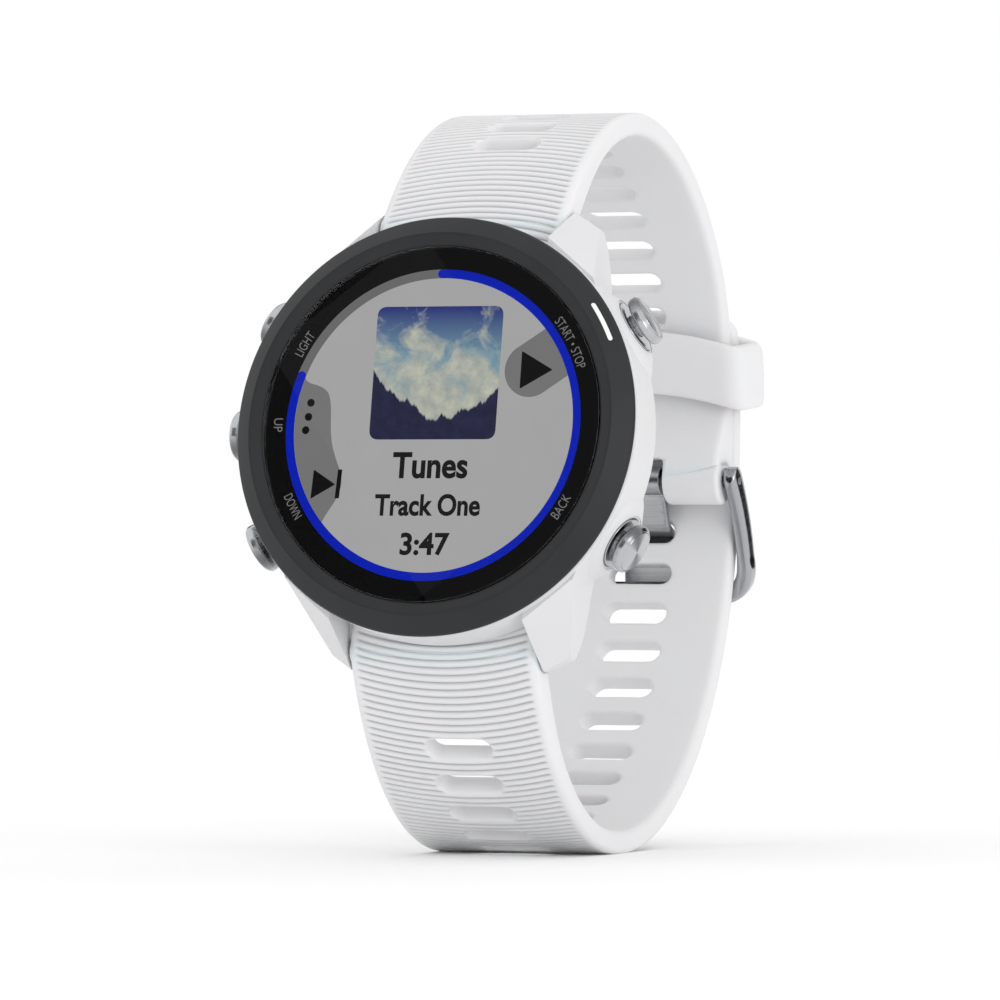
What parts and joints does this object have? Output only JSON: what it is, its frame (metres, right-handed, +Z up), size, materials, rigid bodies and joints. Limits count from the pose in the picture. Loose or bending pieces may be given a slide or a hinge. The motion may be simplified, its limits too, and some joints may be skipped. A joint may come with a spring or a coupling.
{
  "type": "gps running watch",
  "caption": "Round sports watch with a flat lens in a sloping bezel, five side buttons and a ribbed, slotted strap closed into a loop by a pin buckle and keeper.",
  "frame": {"origin": "middle of the underside of the watch's bounding box, on the surface that its strap loop stands on", "axes": "+Z up, from the bottom of the strap loop to its top; the watch face looks towards -Y and leans back 10.7 degrees; +X is the 3 o'clock side"},
  "size_m": [0.045, 0.069, 0.0754],
  "materials": {
    "white_polymer": "fine moulded texture, white",
    "bezel_mark_print": "white inlay",
    "bezel_polymer": "fine moulded texture, slate grey",
    "cover_glass": "polished chemically strengthened glass",
    "display_face": "transflective display",
    "light_guide": "white light guide",
    "dark_polymer": "black glass-filled polymer",
    "cover_polymer": "fine moulded texture, light grey",
    "circuit_board": "solder mask",
    "battery_pouch": "laminated pouch",
    "plated_steel": "tin-plated",
    "brass_plate": "bare brass",
    "gold_contact": "gold-plated",
    "screw_steel": "turned stainless steel",
    "sensor_glass": "polished dark window",
    "sensor_chip": "moulded emitter",
    "button_steel": "spun-brushed stainless steel",
    "bushing_steel": "turned stainless steel",
    "seal_rubber": "moulded O-ring rubber",
    "switch_polymer": "black polymer",
    "silicone": "matt moulded silicone, white",
    "pin_steel": "turned stainless steel",
    "buckle_steel": "polished stainless steel"
  },
  "bodies": {
    "watch": {"bezel": "bezel_polymer", "bezel_mark": "bezel_mark_print", "lens": "cover_glass", "lens_gasket": "seal_rubber", "display_panel": "display_face", "backlight": "light_guide", "inner_frame": "dark_polymer", "main_board": "circuit_board", "battery": "battery_pouch", "processor_shield": "plated_steel", "vibration_motor": "plated_steel", "piezo_buzzer": "brass_plate", "gps_antenna": "plated_steel", "case_body": "white_polymer", "back_cover": "cover_polymer", "case_seal": "seal_rubber", "back_screw_1": "screw_steel", "back_screw_2": "screw_steel", "back_screw_3": "screw_steel", "back_screw_4": "screw_steel", "sensor_window": "sensor_glass", "sensor_board": "circuit_board", "green_led_1": "sensor_chip", "photodiode": "sensor_chip", "green_led_2": "sensor_chip", "charge_port": "dark_polymer", "contact_pin_1": "gold_contact", "contact_pin_2": "gold_contact", "contact_pin_3": "gold_contact", "contact_pin_4": "gold_contact", "start_bushing": "bushing_steel", "start_seal": "seal_rubber", "start_switch": "switch_polymer", "back_bushing": "bushing_steel", "back_seal": "seal_rubber", "back_switch": "switch_polymer", "light_bushing": "bushing_steel", "light_seal": "seal_rubber", "light_switch": "switch_polymer", "up_bushing": "bushing_steel", "up_seal": "seal_rubber", "up_switch": "switch_polymer", "down_bushing": "bushing_steel", "down_seal": "seal_rubber", "down_switch": "switch_polymer", "strap_lower": "silicone", "strap_upper": "silicone", "spring_bar_upper": "pin_steel", "spring_bar_lower": "pin_steel"},
    "start_button": {"start_button": "button_steel"},
    "back_button": {"back_button": "button_steel"},
    "light_button": {"light_button": "button_steel"},
    "up_button": {"up_button": "button_steel"},
    "down_button": {"down_button": "button_steel"},
    "release_pin_upper": {"release_pin_upper": "pin_steel"},
    "release_pin_lower": {"release_pin_lower": "pin_steel"},
    "keeper": {"keeper": "silicone"},
    "buckle": {"buckle_frame": "buckle_steel", "buckle_pin": "pin_steel"},
    "tang": {"tang": "buckle_steel"}
  },
  "joints": [
    {"name": "start_press", "type": "slide", "parent": "watch", "child": "start_button", "axis": [-0.8616, -0.0942, -0.4987], "range_m": [0, 0.0005], "stiffness_N_per_m": 600},
    {"name": "back_press", "type": "slide", "parent": "watch", "child": "back_button", "axis": [-0.866, 0.0928, 0.4913], "range_m": [0, 0.0005], "stiffness_N_per_m": 600},
    {"name": "light_press", "type": "slide", "parent": "watch", "child": "light_button", "axis": [0.866, -0.0928, -0.4913], "range_m": [0, 0.0005], "stiffness_N_per_m": 600},
    {"name": "up_press", "type": "slide", "parent": "watch", "child": "up_button", "axis": [1, 0, 0], "range_m": [0, 0.0005], "stiffness_N_per_m": 600},
    {"name": "down_press", "type": "slide", "parent": "watch", "child": "down_button", "axis": [0.866, 0.0928, 0.4913], "range_m": [0, 0.0005], "stiffness_N_per_m": 600},
    {"name": "release_upper", "type": "slide", "parent": "watch", "child": "release_pin_upper", "axis": [-1, 0, 0], "range_m": [0, 0.0013], "stiffness_N_per_m": 300},
    {"name": "release_lower", "type": "slide", "parent": "watch", "child": "release_pin_lower", "axis": [-1, 0, 0], "range_m": [0, 0.0013], "stiffness_N_per_m": 300},
    {"name": "keeper_slide", "type": "hinge", "parent": "watch", "child": "keeper", "pos_m": [0.00101, -0.01177, 0.04563], "axis": [1, 0, 0], "range_deg": [-2.5, 2.5]},
    {"name": "buckle_pivot", "type": "hinge", "parent": "watch", "child": "buckle", "pos_m": [0.00101, 0.027, 0.03789], "axis": [1, 0, 0], "range_deg": [0, 2]},
    {"name": "tang_pivot", "type": "hinge", "parent": "buckle", "child": "tang", "pos_m": [0.00101, 0.027, 0.03789], "axis": [1, 0, 0], "range_deg": [0, 1.5]}
  ]
}
